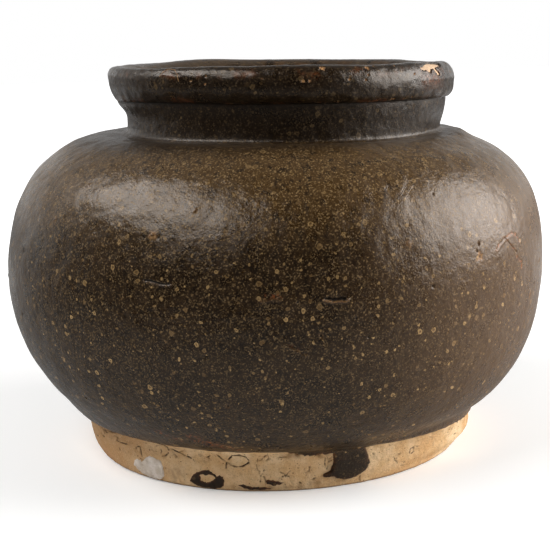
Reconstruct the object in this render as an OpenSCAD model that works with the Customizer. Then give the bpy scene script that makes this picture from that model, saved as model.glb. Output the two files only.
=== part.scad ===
// Squat glazed storage jar: paddled clay walls built up in rings, a rolled rim,
// a glaze coat inside and out that stops above a bare foot, and one thick glaze run.
// The jar stands on the table at z = 0 and its front faces -Y.

/* [Foot] */
// Radius of the bare foot at the table
foot_r = 97; // [84:0.5:112]
// Height of the bare foot, up to the glaze hem
foot_h = 21.7; // [18:0.1:27]
// How far the body overhangs the foot at the hem
cove_out = 7.3; // [5:0.1:11]
// Width of the ring that the jar stands on
foot_ring_w = 13; // [9:0.5:18]
// Rounding of the foot's outer edge
foot_edge = 1.6; // [1:0.1:3]
// Gap between the table and the floor's underside
floor_lift = 3; // [2:0.5:5]
// Thickness of the floor
floor_t = 11; // [8:0.5:13]
// Slope of the floor's luted edge, measured outwards
floor_bevel = 14; // [8:0.5:20]

/* [Body] */
// Radius of the belly at its widest
belly_r = 140; // [128:1:165]
// Height from the glaze hem to the widest line
belly_h = 72.3; // [60:0.1:90]
// Height from the widest line to the foot of the neck
shoulder_h = 69.8; // [60:0.1:90]
// Thickness of the wall with its glaze
wall_t = 8; // [6:0.25:10]
// Height of the potter's ridges inside the wall
ridge_h = 0.7; // [0.3:0.1:1.2]
// Number of ridges inside each half of the wall
ridge_n = 6; // [4:1:8]

/* [Neck and rim] */
// Outer radius of the neck at its narrowest
neck_r = 81.5; // [72:0.5:92]
// Height from the shoulder to the crease under the rim
neck_h = 17; // [13:0.1:24]
// Thickness of the neck with its glaze
neck_t = 8; // [6.5:0.25:10]
// Radius of the hollow where the neck meets the shoulder
neck_hollow = 5; // [3:0.5:7]
// Depth of the crease under the rim, beyond the neck
crease_out = 1.6; // [0.8:0.1:3]
// How far the rolled rim overhangs the neck
rim_out = 7.7; // [5.5:0.1:11]
// Height of the rolled rim
rim_h = 17.2; // [14:0.1:22]
// Length of the straight bore in the mouth
mouth_len = 20; // [16:0.5:24]

/* [Glaze] */
// Thickness of the glaze coat
glaze_t = 0.8; // [0.6:0.05:1.2]
// Extra thickness of the glaze bead along the hem
hem_bead = 0.6; // [0.2:0.1:1]
// Width of the long glaze run on the foot
run_w = 18.5; // [12:0.5:22]
// Bare clay left between the run's tip and the table
run_gap = 3.2; // [2.6:0.1:7]
// Thickness of the run
run_t = 1.3; // [0.9:0.1:1.4]
// Azimuth of the run, counted from the front towards +X
run_az = 19; // [5:1:40]
// Width of the chip in the rim's glaze
chip_w = 20; // [14:0.5:24]
// Height of the chip
chip_h = 6.5; // [5:0.5:9]
// Azimuth of the chip
chip_az = 51.5; // [45:0.5:75]
// Width of the ring-shaped glaze spot on the foot
spot_w = 17; // [10:0.5:20]
// Height of that spot
spot_h = 9; // [6:0.5:12]
// Thickness of the glaze spots
spot_t = 0.5; // [0.3:0.1:0.8]
// Width of the pale patch on the foot
patch_w = 18; // [10:0.5:22]
// Height of the pale patch
patch_h = 9.5; // [6:0.5:12]
// Thickness of the pale patch
patch_t = 0.4; // [0.3:0.1:0.8]

/* [Hidden] */
$fn = 96;

clay_colour = [0.70, 0.53, 0.36];
glaze_colour = [0.24, 0.18, 0.12];
lining_colour = [0.27, 0.21, 0.16];
run_colour = [0.11, 0.08, 0.06];
patch_colour = [0.80, 0.76, 0.69];

// Steps along each curve
wall_n = 4 * ridge_n;
small_n = 6;
// Steps that a luted seam slants by
seam_n = 3;

// Heights stacked from the table
hem_z = foot_h;
belly_z = hem_z + belly_h;
shoulder_z = belly_z + shoulder_h;
crease_z = shoulder_z + neck_h;
top_z = crease_z + rim_h;
floor_z = floor_lift + floor_t;

// Radii
hem_r = foot_r + cove_out;
ring_r = foot_r - foot_ring_w;
slab_r = ring_r - floor_bevel;
crease_r = neck_r + crease_out;
rim_r = neck_r + rim_out;
mouth_r = neck_r - neck_t;

// Direction in which the wall leaves the hem, in degrees above level
hem_slope = 26;
hem_dir = [cos(hem_slope), sin(hem_slope)];

// Curves, each given by its ends and the two handles between them
lower_curve = [[hem_r, hem_z], [hem_r, hem_z] + 7 * hem_dir,
    [belly_r, belly_z - 0.67 * belly_h], [belly_r, belly_z]];
upper_curve = [[belly_r, belly_z], [belly_r, belly_z + 0.8 * shoulder_h],
    [neck_r + neck_hollow + 21, shoulder_z - 1.2], [neck_r + neck_hollow, shoulder_z]];
hollow_curve = [[neck_r + neck_hollow, shoulder_z], [neck_r + 0.4 * neck_hollow, shoulder_z],
    [neck_r, shoulder_z + 0.5 * neck_hollow], [neck_r, shoulder_z + neck_hollow]];
collar_curve = [[neck_r, shoulder_z + neck_hollow], [neck_r, shoulder_z + 0.6 * neck_h],
    [crease_r - 0.4, crease_z - 2.5], [crease_r, crease_z]];
under_curve = [[crease_r, crease_z], [rim_r - 1.5, crease_z + 1.6],
    [rim_r, crease_z + 0.3 * rim_h], [rim_r, crease_z + 0.54 * rim_h]];
lip_curve = [[rim_r, crease_z + 0.54 * rim_h], [rim_r, top_z - 2.4],
    [rim_r - 1.8, top_z], [rim_r - 5.4, top_z]];
crest_curve = [[rim_r - 5.4, top_z], [mouth_r + 5.2, top_z],
    [mouth_r, top_z - 2.8], [mouth_r, top_z - 8]];
bore_z = top_z - 8 - mouth_len;

function bezier(c, t) = pow(1 - t, 3) * c[0] + 3 * pow(1 - t, 2) * t * c[1]
    + 3 * (1 - t) * t * t * c[2] + pow(t, 3) * c[3];
function heading(c, t) = let (d = pow(1 - t, 2) * (c[1] - c[0])
    + 2 * (1 - t) * t * (c[2] - c[1]) + t * t * (c[3] - c[2])) d / norm(d);
// Point on a curve moved by d to the left of the way it runs, which is into the wall
function inset(c, t, d) = let (h = heading(c, t)) bezier(c, t) + d * [-h[1], h[0]];
function along(c, n, d = 0) = [for (i = [0:n]) inset(c, i / n, d)];
function reversed(p) = [for (i = [len(p) - 1:-1:0]) p[i]];
function part_of(p, a, b) = [for (i = [a:b]) p[i]];

// The glaze thickens to a bead at the hem
function coat(t) = glaze_t + hem_bead * pow(1 - t, 8);
// The inside of the wall carries shallow ridges, which fade out at both ends
function wall_at(t) = wall_t - ridge_h * sin(180 * t) * sin(360 * ridge_n * t);

// Outside of the clay, under the glaze
clay_lower = [for (i = [0:wall_n]) inset(lower_curve, i / wall_n, coat(i / wall_n))];
clay_upper = along(upper_curve, wall_n, glaze_t);
clay_hollow = along(hollow_curve, small_n, glaze_t);
clay_collar = along(collar_curve, small_n, glaze_t);
clay_under = along(under_curve, small_n, glaze_t);
clay_lip = along(lip_curve, small_n, glaze_t);
clay_crest = along(crest_curve, small_n, glaze_t);

// Inside of the jar, as the glazed surface and as the clay under it
function inside_lower(d) = [for (i = [0:wall_n]) inset(lower_curve, i / wall_n, wall_at(i / wall_n) - d)];
function inside_upper(d) = [for (i = [0:wall_n]) inset(upper_curve, i / wall_n, wall_at(i / wall_n) - d)];
corner_end = inside_lower(0)[0];
corner_curve = [[slab_r, floor_z], [slab_r + 9, floor_z], corner_end - 9 * hem_dir, corner_end];
throat_start = inside_upper(0)[wall_n];
throat_curve = [throat_start, throat_start - [6, 0], [mouth_r, bore_z - 9], [mouth_r, bore_z]];
function inside_corner(d) = along(corner_curve, small_n, -d);
function inside_throat(d) = along(throat_curve, small_n, -d);

// Bare foot: rounded edge, upright side, then a cove that runs out to the hem
cove_end = clay_lower[0];
foot_curve = [[foot_r, foot_edge], [foot_r + 0.4, 0.75 * foot_h],
    cove_end - 5 * hem_dir, cove_end];
foot_side = along(foot_curve, 12);
foot_round = [for (a = [-90:22.5:0]) [foot_r - foot_edge, foot_edge] + foot_edge * [cos(a), sin(a)]];

module ring(points) {
    rotate_extrude() polygon(points);
}

// Disc of clay, dished underneath, with a sloping edge that the foot ring is luted to
module floor_slab() {
    color(clay_colour) ring([[0, floor_lift], [ring_r, floor_lift],
        [slab_r, floor_z - glaze_t], [0, floor_z - glaze_t]]);
}

// Heavy first coil, which makes the foot outside and the corner inside
module foot_ring() {
    corner = inside_corner(glaze_t);
    color(clay_colour) ring(concat([[ring_r, 0]], foot_round, part_of(foot_side, 1, 12),
        reversed(corner), [[ring_r, floor_lift]]));
}

// Wall from the foot to the widest line, bevelled at the top for the next coil
module lower_wall() {
    inside = inside_lower(glaze_t);
    color(clay_colour) ring(concat(clay_lower, reversed(part_of(inside, 0, wall_n - seam_n))));
}

// Wall from the widest line to the neck, lapped inside the lower wall
module upper_wall() {
    below = inside_lower(glaze_t);
    inside = inside_upper(glaze_t);
    color(clay_colour) ring(concat(clay_upper, reversed(inside),
        reversed(part_of(below, wall_n - seam_n, wall_n - 1))));
}

// Collar thrown on top of the shoulder
module neck_collar() {
    color(clay_colour) ring(concat(clay_hollow, part_of(clay_collar, 1, small_n),
        [[mouth_r + glaze_t, crease_z + 3]], reversed(inside_throat(glaze_t))));
}

// Band folded outwards and down, which leaves a crease over the neck
module rim_roll() {
    color(clay_colour) ring(concat(clay_under, part_of(clay_lip, 1, small_n),
        part_of(clay_crest, 1, small_n), [[mouth_r + glaze_t, crease_z + 3]]));
}

// Outline of the chip, seen from the side that it faces
module chip_outline() {
    step = (chip_w - chip_h) / 6;
    for (i = [-3:3]) circle_at(i * step, 0.5 * sin(140 * i), chip_h / 2 - 0.2 * abs(i));
    translate([-3 * step, 0]) square([6 * step, chip_h]);
}

// Glaze coat outside, from the hem over the rolled rim to its crest
module outer_glaze() {
    color(glaze_colour) difference() {
        ring(concat(along(lower_curve, wall_n), part_of(along(upper_curve, wall_n), 1, wall_n),
            part_of(along(hollow_curve, small_n), 1, small_n),
            part_of(along(collar_curve, small_n), 1, small_n),
            part_of(along(under_curve, small_n), 1, small_n),
            part_of(along(lip_curve, small_n), 1, small_n),
            reversed(clay_lip), reversed(part_of(clay_under, 0, small_n - 1)),
            reversed(part_of(clay_collar, 0, small_n - 1)),
            reversed(part_of(clay_hollow, 0, small_n - 1)),
            reversed(part_of(clay_upper, 0, wall_n - 1)),
            reversed(part_of(clay_lower, 0, wall_n - 1))));
        rotate([0, 0, chip_az]) translate([0, 0, top_z - 0.42 * chip_h]) rotate([90, 0, 0])
            linear_extrude(rim_r + 5) chip_outline();
    }
}

// Glaze lining, from the middle of the floor up to the rim's crest
module inner_glaze() {
    function lining(d) = concat(inside_corner(d), part_of(inside_lower(d), 1, wall_n),
        part_of(inside_upper(d), 1, wall_n), part_of(inside_throat(d), 1, small_n),
        reversed(along(crest_curve, small_n, d)));
    color(lining_colour) ring(concat([[0, floor_z - glaze_t]], lining(glaze_t),
        reversed(lining(0)), [[0, floor_z]]));
}

// Thin skin that lies on the foot, thick enough for what has run or dropped onto it
module foot_skin(thick) {
    ring(concat(along(foot_curve, 12, 0), reversed(along(foot_curve, 12, -thick))));
}

// Piece of that skin inside an outline, which has its own X to the right and Y up
module on_foot(thick, azimuth) {
    intersection() {
        foot_skin(thick);
        rotate([0, 0, azimuth]) rotate([90, 0, 0]) translate([0, 0, ring_r])
            linear_extrude(foot_ring_w + cove_out + 3 * thick) children();
    }
}

// Thick run of glaze that hangs from the hem, with a spur at the lower left
module glaze_run() {
    bulb_z = run_gap + run_w / 2;
    color(run_colour) on_foot(run_t, run_az) union() {
        circle_at(0, bulb_z, run_w / 2);
        polygon([[-run_w / 2, hem_z + 3], [-run_w / 2, bulb_z], [run_w / 2, bulb_z], [run_w / 2, hem_z + 3]]);
        polygon([[-0.45 * run_w, bulb_z - 0.2 * run_w], [-0.72 * run_w, run_gap + 0.15 * run_w],
            [-0.66 * run_w, run_gap + 0.06 * run_w], [-0.1 * run_w, run_gap + 0.05 * run_w]]);
        circle_at(-0.69 * run_w, run_gap + 0.11 * run_w, 0.06 * run_w);
    }
}

module circle_at(x, z, r) {
    translate([x, z]) circle(r = r, $fn = 32);
}

// Drops of glaze on the foot: an open ring with a lobe, and two thin marks
module glaze_spots() {
    color(run_colour) union() {
        on_foot(spot_t, -20.5) difference() {
            union() {
                circle_at(-0.2 * spot_w, 0.52 * spot_h, 0.3 * spot_w);
                circle_at(0.3 * spot_w, 0.5 * spot_h, 0.19 * spot_w);
                translate([-0.2 * spot_w, 0]) square([0.5 * spot_w, 0.45 * spot_h]);
            }
            circle_at(-0.06 * spot_w, 0.72 * spot_h, 0.1 * spot_w);
        }
        for (mark = [[-8, 2.5], [-1.5, 4.4]])
            on_foot(spot_t, mark[0]) union() {
                for (i = [-3:3]) circle_at(1.3 * i, foot_edge + mark[1] + 0.3 * sin(100 * i) - 1.2,
                    1.1 - 0.11 * abs(i));
            }
    }
}

// Patch of pale kiln wash that stuck to the foot
module kiln_patch() {
    color(patch_colour) on_foot(patch_t, -40) polygon([[-0.5 * patch_w, 0.95 * patch_h],
        [-0.5 * patch_w, 0.45 * patch_h], [-0.3 * patch_w, 0], [0.44 * patch_w, 0],
        [0.5 * patch_w, 0.3 * patch_h], [0.36 * patch_w, 0.8 * patch_h],
        [0.05 * patch_w, patch_h], [-0.15 * patch_w, 0.85 * patch_h]]);
}

floor_slab();
foot_ring();
lower_wall();
upper_wall();
neck_collar();
rim_roll();
outer_glaze();
inner_glaze();
glaze_run();
glaze_spots();
kiln_patch();
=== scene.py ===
import math
import bmesh
import bpy
import numpy as np
from mathutils import Euler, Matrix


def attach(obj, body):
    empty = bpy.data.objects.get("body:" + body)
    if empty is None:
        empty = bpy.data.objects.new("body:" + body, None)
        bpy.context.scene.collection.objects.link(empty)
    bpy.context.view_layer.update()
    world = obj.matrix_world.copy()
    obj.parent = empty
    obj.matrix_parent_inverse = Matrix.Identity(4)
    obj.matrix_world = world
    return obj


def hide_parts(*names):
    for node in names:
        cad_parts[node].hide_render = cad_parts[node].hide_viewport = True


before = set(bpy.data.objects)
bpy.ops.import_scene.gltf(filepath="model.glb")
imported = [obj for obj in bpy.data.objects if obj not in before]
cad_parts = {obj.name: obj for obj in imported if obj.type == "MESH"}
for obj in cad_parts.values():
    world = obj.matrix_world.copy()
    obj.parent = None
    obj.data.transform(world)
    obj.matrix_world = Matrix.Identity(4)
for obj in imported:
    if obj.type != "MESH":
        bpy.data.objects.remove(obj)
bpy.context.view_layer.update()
print("frame loaded")

mm = 0.001

# Sizes of the solids, in millimetres, which every piece here starts from
jar = {
    "footR": 97.0, "footH": 21.7, "coveOut": 7.3, "ringW": 13.0, "footEdge": 1.6,
    "floorLift": 3.0, "floorT": 11.0, "floorBevel": 14.0,
    "bellyR": 140.0, "bellyH": 72.3, "shoulderH": 69.8, "wallT": 8.0, "ridgeH": 0.7, "ridges": 6,
    "neckR": 81.5, "neckH": 17.0, "neckT": 8.0, "hollow": 5.0, "creaseOut": 1.6,
    "rimOut": 7.7, "rimH": 17.2, "boreLength": 20.0, "glazeT": 0.8, "hemBead": 0.6,
}

# How the whole jar sits: it leans to +X by height, its planes tilt, and its two sides differ
sit = {
    "tilt": 0.0242,
    "lean": [(0, -2.1), (22, -3.2), (60, -2.3), (94, -1.0), (130, 1.3), (150, 2.7), (164, 4.9), (176, 6.3), (186, 4.9), (198, 3.1)],
    "leftSide": [(-26, -1.8), (-20, 1.6), (-15, 2.3), (-8, 2.3), (-2, 0.9), (6, -1.2), (14, -2.6), (24, -2.5), (45, -1.5), (75, -0.5), (105, -0.4), (130, -0.3), (150, -0.3), (166, 0.0),
                 (184, -0.5), (206, -0.9), (213, -1.2), (218, -2.4), (223, -2.4), (237, -1.7)],
    "rightSide": [(-26, -0.6), (-22, 0.8), (-20, 3.3), (-18, 5.0), (-13, 5.5), (-9, 5.2), (-4, 4.2), (1, -1.8), (5, -2.8), (9, -1.9), (14, -0.3), (20, 0.2), (33, 0.6), (45, 0.3), (75, -0.4), (105, -0.2), (130, -0.5), (150, -1.9), (166, -2.4),
                  (184, 0.0), (198, 0.9), (206, 0.6), (212, 0.2), (219, 2.2), (224, 1.2), (237, 0.0)],
    "dentDepth": 0.22, "dentSize": 30.0, "lipWave": 0.4, "rimFill": 3.6, "corner": 1.15, "collarDrop": 1.3, "seed": 4,
}


def smoothStep(x, low, high):
    t = np.clip((x - low) / (high - low), 0, 1)
    return t * t * (3 - 2 * t)


def bezier(curve, t):
    a, b, c, d = [np.array(p, float) for p in curve]
    t = np.asarray(t, float)[:, None]
    return (1 - t) ** 3 * a + 3 * (1 - t) ** 2 * t * b + 3 * (1 - t) * t * t * c + t ** 3 * d


def heading(curve, t):
    a, b, c, d = [np.array(p, float) for p in curve]
    t = np.asarray(t, float)[:, None]
    way = (1 - t) ** 2 * (b - a) + 2 * (1 - t) * t * (c - b) + t * t * (d - c)
    return way / np.linalg.norm(way, axis=1)[:, None]


def inset(curve, t, depth):
    way = heading(curve, t)
    left = np.stack([-way[:, 1], way[:, 0]], 1)
    return bezier(curve, t) + np.asarray(depth).reshape(-1, 1) * left


# Curves of the glazed surface, as radius and height
hemZ = jar["footH"]
bellyZ = hemZ + jar["bellyH"]
shoulderZ = bellyZ + jar["shoulderH"]
creaseZ = shoulderZ + jar["neckH"]
topZ = creaseZ + jar["rimH"]
hemR = jar["footR"] + jar["coveOut"]
creaseR = jar["neckR"] + jar["creaseOut"]
rimR = jar["neckR"] + jar["rimOut"]
mouthR = jar["neckR"] - jar["neckT"]
ringR = jar["footR"] - jar["ringW"]
slabR = ringR - jar["floorBevel"]
floorZ = jar["floorLift"] + jar["floorT"]
hemWay = np.array([math.cos(math.radians(26)), math.sin(math.radians(26))])

lowerCurve = [(hemR, hemZ), np.array([hemR, hemZ]) + 7 * hemWay,
              (jar["bellyR"], bellyZ - 0.67 * jar["bellyH"]), (jar["bellyR"], bellyZ)]
upperCurve = [(jar["bellyR"], bellyZ), (jar["bellyR"], bellyZ + 0.8 * jar["shoulderH"]),
              (jar["neckR"] + jar["hollow"] + 21, shoulderZ - 1.2), (jar["neckR"] + jar["hollow"], shoulderZ)]
hollowCurve = [(jar["neckR"] + jar["hollow"], shoulderZ), (jar["neckR"] + 0.4 * jar["hollow"], shoulderZ),
               (jar["neckR"], shoulderZ + 0.5 * jar["hollow"]), (jar["neckR"], shoulderZ + jar["hollow"])]
collarCurve = [(jar["neckR"], shoulderZ + jar["hollow"]), (jar["neckR"], shoulderZ + 0.6 * jar["neckH"]),
               (creaseR - 0.4, creaseZ - 2.5), (creaseR, creaseZ)]
underCurve = [(creaseR, creaseZ), (rimR - 1.5, creaseZ + 1.6),
              (rimR, creaseZ + 0.3 * jar["rimH"]), (rimR, creaseZ + 0.54 * jar["rimH"])]
lipCurve = [(rimR, creaseZ + 0.54 * jar["rimH"]), (rimR, topZ - 2.4), (rimR - 1.8, topZ), (rimR - 5.4, topZ)]
crestCurve = [(rimR - 5.4, topZ), (mouthR + 5.2, topZ), (mouthR, topZ - 2.8), (mouthR, topZ - 8)]

fine = np.linspace(0, 1, 90)
coatAt = jar["glazeT"] + jar["hemBead"] * (1 - fine) ** 8
clayLower = inset(lowerCurve, fine, coatAt)
coveEnd = clayLower[0]
footCurve = [(jar["footR"], jar["footEdge"]), (jar["footR"] + 0.4, 0.75 * jar["footH"]), coveEnd - 5 * hemWay, coveEnd]
edgeAngles = np.radians(np.linspace(-90, 0, 12))
footRound = np.stack([jar["footR"] - jar["footEdge"] * (1 - np.cos(edgeAngles)),
                      jar["footEdge"] * (1 + np.sin(edgeAngles))], 1)


def makePath(parts):
    # Joins stretches of outline and gives each point its length along and its outward normal
    points = [parts[0]] + [p[1:] for p in parts[1:]]
    ends = np.cumsum([len(p) for p in points]) - 1
    line = np.concatenate(points)
    step = np.hypot(*np.diff(line, axis=0).T)
    along = np.concatenate([[0], np.cumsum(step)])
    way = np.gradient(line, along, axis=0)
    way /= np.linalg.norm(way, axis=1)[:, None]
    return {"s": along, "r": line[:, 0], "z": line[:, 1], "nr": way[:, 1], "nz": -way[:, 0], "ends": along[ends]}


# Outside of the clay from the foot's edge to the bore, with s = 0 at the end of the bare foot
clayPath = makePath([footRound, bezier(footCurve, fine), clayLower] + [
    inset(c, fine, jar["glazeT"]) for c in (upperCurve, hollowCurve, collarCurve, underCurve, lipCurve, crestCurve)])
footLength = clayPath["ends"][1]
clayPath["s"] = clayPath["s"] - footLength
marks = dict(zip(("edge", "hem", "belly", "shoulder", "collar", "crease", "rim", "crest", "bore"),
                 clayPath["ends"] - footLength))
print("clay outline", {k: round(float(v), 1) for k, v in marks.items()})


def place(path, az, s, lift):
    # Point above a path, at an azimuth counted from the front towards +X, in metres
    r = np.interp(s, path["s"], path["r"]) + lift * np.interp(s, path["s"], path["nr"])
    z = np.interp(s, path["s"], path["z"]) + lift * np.interp(s, path["s"], path["nz"])
    a = np.radians(az)
    return np.stack([r * np.sin(a), -r * np.cos(a), z], 1) * mm


def waves(az, s, size, seed, count=28):
    # Smooth noise from -1 to 1 over the turned surface, made of waves in many directions
    rng = np.random.default_rng(seed)
    r = np.interp(s, clayPath["s"], clayPath["r"])
    z = np.interp(s, clayPath["s"], clayPath["z"])
    a = np.radians(az)
    spot = np.stack([r * np.sin(a), -r * np.cos(a), z], 1)
    way = rng.normal(size=(3, count)) * 2 / size
    phase = rng.uniform(0, 2 * np.pi, count)
    return np.sin(spot @ way + phase).sum(1) * 1.4 / np.sqrt(count) * 0.7


def turnGrid(azimuths, rows):
    count = len(azimuths)
    a, s = np.meshgrid(azimuths, rows)
    spots = np.stack([a.ravel(), s.ravel()], 1)
    i, j = np.meshgrid(np.arange(count - 1), np.arange(len(rows) - 1))
    p = (j * count + i).ravel()
    q, r, t = p + 1, p + count, p + count + 1
    return spots, np.concatenate([np.stack([p, q, t], 1), np.stack([p, t, r], 1)])


def splitEdges(tris):
    edges = np.sort(np.concatenate([tris[:, [0, 1]], tris[:, [1, 2]], tris[:, [2, 0]]]), axis=1)
    unique, where = np.unique(edges, axis=0, return_inverse=True)
    return unique, where.reshape(3, -1).T


def refine(spots, tris, wanted):
    # Splits the triangles near what needs detail, and their neighbours so that no gap opens
    edges, mine = splitEdges(tris)
    inside = wanted(*spots.T)[tris].any(1)
    marked = np.zeros(len(edges), bool)
    marked[mine[inside].ravel()] = True
    middle = np.full(len(edges), -1)
    middle[marked] = len(spots) + np.arange(marked.sum())
    spots = np.concatenate([spots, spots[edges[marked]].mean(1)])
    cut = marked[mine]
    count = cut.sum(1)
    out = [tris[count == 0]]
    for turn in range(3):
        order = [turn, (turn + 1) % 3, (turn + 2) % 3]
        first = (count == 1) & cut[:, turn]
        a, b, c = tris[first][:, order].T
        m = middle[mine[first, turn]]
        out += [np.stack([a, m, c], 1), np.stack([m, b, c], 1)]
        first = (count == 2) & ~cut[:, turn]
        a, b, c = tris[first][:, order].T
        m = middle[mine[first, order[1]]]
        n = middle[mine[first, order[2]]]
        out += [np.stack([a, b, m], 1), np.stack([a, m, n], 1), np.stack([m, c, n], 1)]
    whole = count == 3
    a, b, c = tris[whole].T
    m, n, o = middle[mine[whole]].T
    out += [np.stack(x, 1) for x in ((a, m, o), (m, b, n), (o, n, c), (m, n, o))]
    return spots, np.concatenate(out)


def clip(spots, tris, value):
    # Keeps what lies inside, where value is above 0, with new points along the outline
    edges, mine = splitEdges(tris)
    low, high = value[edges[:, 0]], value[edges[:, 1]]
    crossing = (low > 0) != (high > 0)
    middle = np.full(len(edges), -1)
    middle[crossing] = len(spots) + np.arange(crossing.sum())
    t = (low[crossing] / (low[crossing] - high[crossing]))[:, None]
    pair = spots[edges[crossing]]
    spots = np.concatenate([spots, pair[:, 0] * (1 - t) + pair[:, 1] * t])
    value = np.concatenate([value, np.zeros(crossing.sum())])
    kept = value[tris] > 0
    count = kept.sum(1)
    out = [tris[count == 3]]
    for turn in range(3):
        order = [turn, (turn + 1) % 3, (turn + 2) % 3]
        one = (count == 1) & kept[:, turn]
        out.append(np.stack([tris[one, turn], middle[mine[one, turn]], middle[mine[one, order[2]]]], 1))
        two = (count == 2) & ~kept[:, turn]
        b, c = tris[two][:, order[1:]].T
        m, n = middle[mine[two, turn]], middle[mine[two, order[2]]]
        out += [np.stack([m, b, c], 1), np.stack([m, c, n], 1)]
    tris = np.concatenate(out)
    used, tris = np.unique(tris, return_inverse=True)
    return spots[used], tris.reshape(-1, 3), value[used]


def newMesh(name, points, faces, marks=None):
    mesh = bpy.data.meshes.new(name)
    mesh.from_pydata(points.tolist(), [], faces)
    for label, values in (marks or {}).items():
        layer = mesh.attributes.new(label, "FLOAT", "POINT")
        layer.data.foreach_set("value", np.asarray(values, np.float32))
    made = bpy.data.objects.new(name, mesh)
    bpy.context.scene.collection.objects.link(made)
    return made


def tidyMesh(made, sharp=50.0):
    # Closes seams, points the faces outwards and keeps real corners crisp
    work = bmesh.new()
    work.from_mesh(made.data)
    bmesh.ops.remove_doubles(work, verts=work.verts, dist=2e-6)
    bmesh.ops.dissolve_degenerate(work, edges=work.edges, dist=1e-7)
    bmesh.ops.recalc_face_normals(work, faces=work.faces)
    if work.calc_volume(signed=True) < 0:
        bmesh.ops.reverse_faces(work, faces=work.faces)
    for face in work.faces:
        face.smooth = True
    work.to_mesh(made.data)
    work.free()
    made.data.set_sharp_from_angle(angle=math.radians(sharp))
    return made


def skin(name, azimuths, rows, lift, inside=None, marks=None, detail=(), edgeWidth=1.2, coarseFrom=None, under=-0.06):
    # A closed skin on the clay: a shaped top, a plain underside, and an outline where inside() is 0
    spots, tris = turnGrid(azimuths, rows)
    for wanted in detail:
        spots, tris = refine(spots, tris, wanted)
    value = inside(*spots.T) if inside else np.full(len(spots), 50.0)
    spots, tris, value = clip(spots, tris, value)
    az, s = spots.T
    edge = np.sqrt(np.clip(1 - (1 - np.clip(value / edgeWidth, 0, 1)) ** 2, 0, 1))
    top = place(clayPath, az, s, under + (lift(az, s, value) - under) * edge)
    low = place(clayPath, az, s, np.full(len(az), under))
    shared = value <= 0
    below = np.where(shared, np.arange(len(az)), np.arange(len(az)) + len(az))
    faces = tris.tolist()
    underside = tris if coarseFrom is None else tris[(s[tris] <= coarseFrom + 1e-6).all(1)]
    faces += below[underside][:, ::-1].tolist()
    if coarseFrom is not None:
        faces += coarseUnderside(az, s, below, azimuths, rows, coarseFrom)
    edges = np.concatenate([tris[:, [0, 1]], tris[:, [1, 2]], tris[:, [2, 0]]])
    key = np.sort(edges, axis=1)
    unique, first, times = np.unique(key, axis=0, return_index=True, return_counts=True)
    rim = edges[first[times == 1]]
    seam = np.abs(np.abs(az[rim]) - 180).max(1) < 1e-6 if abs(azimuths[-1] - azimuths[0]) > 359 else np.zeros(len(rim), bool)
    for a, b in rim[~seam]:
        loop = [b, a] + ([below[a]] if below[a] != a else []) + ([below[b]] if below[b] != b else [])
        if len(loop) > 2:
            faces.append([int(v) for v in loop])
    layers = {label: np.tile(values(az, s, value), 2) for label, values in (marks or {}).items()}
    made = newMesh(name, np.concatenate([top, low]), faces, layers)
    return tidyMesh(dropLoose(made))


def coarseUnderside(az, s, below, azimuths, rows, start):
    # Wide faces for the hidden side, between a few of the rows
    high = rows[rows >= start - 1e-6]
    picked = [high[0]] + list(high[8:-1:8]) + [high[-1]]
    order = np.lexsort((az, s))
    faces = []
    lines = []
    for row in picked:
        found = order[np.abs(s[order] - row) < 1e-7]
        onGrid = np.isin(np.round(az[found], 6), np.round(azimuths, 6))
        lines.append(found[onGrid])
    for lowLine, highLine in zip(lines, lines[1:]):
        a, b = below[lowLine], below[highLine]
        faces += np.stack([a[:-1], b[:-1], b[1:], a[1:]], 1).tolist()
    return faces


def dropLoose(made):
    work = bmesh.new()
    work.from_mesh(made.data)
    bmesh.ops.delete(work, geom=[v for v in work.verts if not v.link_faces], context="VERTS")
    work.to_mesh(made.data)
    work.free()
    return made


def runAt(z):
    # Length along the clay's outside at a height, below the crest
    rising = clayPath["s"] <= marks["rim"]
    return np.interp(z, clayPath["z"][rising], clayPath["s"][rising])


def eased(x, knots):
    # Smooth curve through pairs of place and value
    at, value = np.array(knots, float).T
    slope = np.gradient(value, at)
    i = np.clip(np.searchsorted(at, x) - 1, 0, len(at) - 2)
    gap = at[i + 1] - at[i]
    t = np.clip((x - at[i]) / gap, 0, 1)
    return (value[i] * (2 * t ** 3 - 3 * t * t + 1) + gap * slope[i] * (t ** 3 - 2 * t * t + t)
            + value[i + 1] * (3 * t * t - 2 * t ** 3) + gap * slope[i + 1] * (t ** 3 - t * t))


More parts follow.
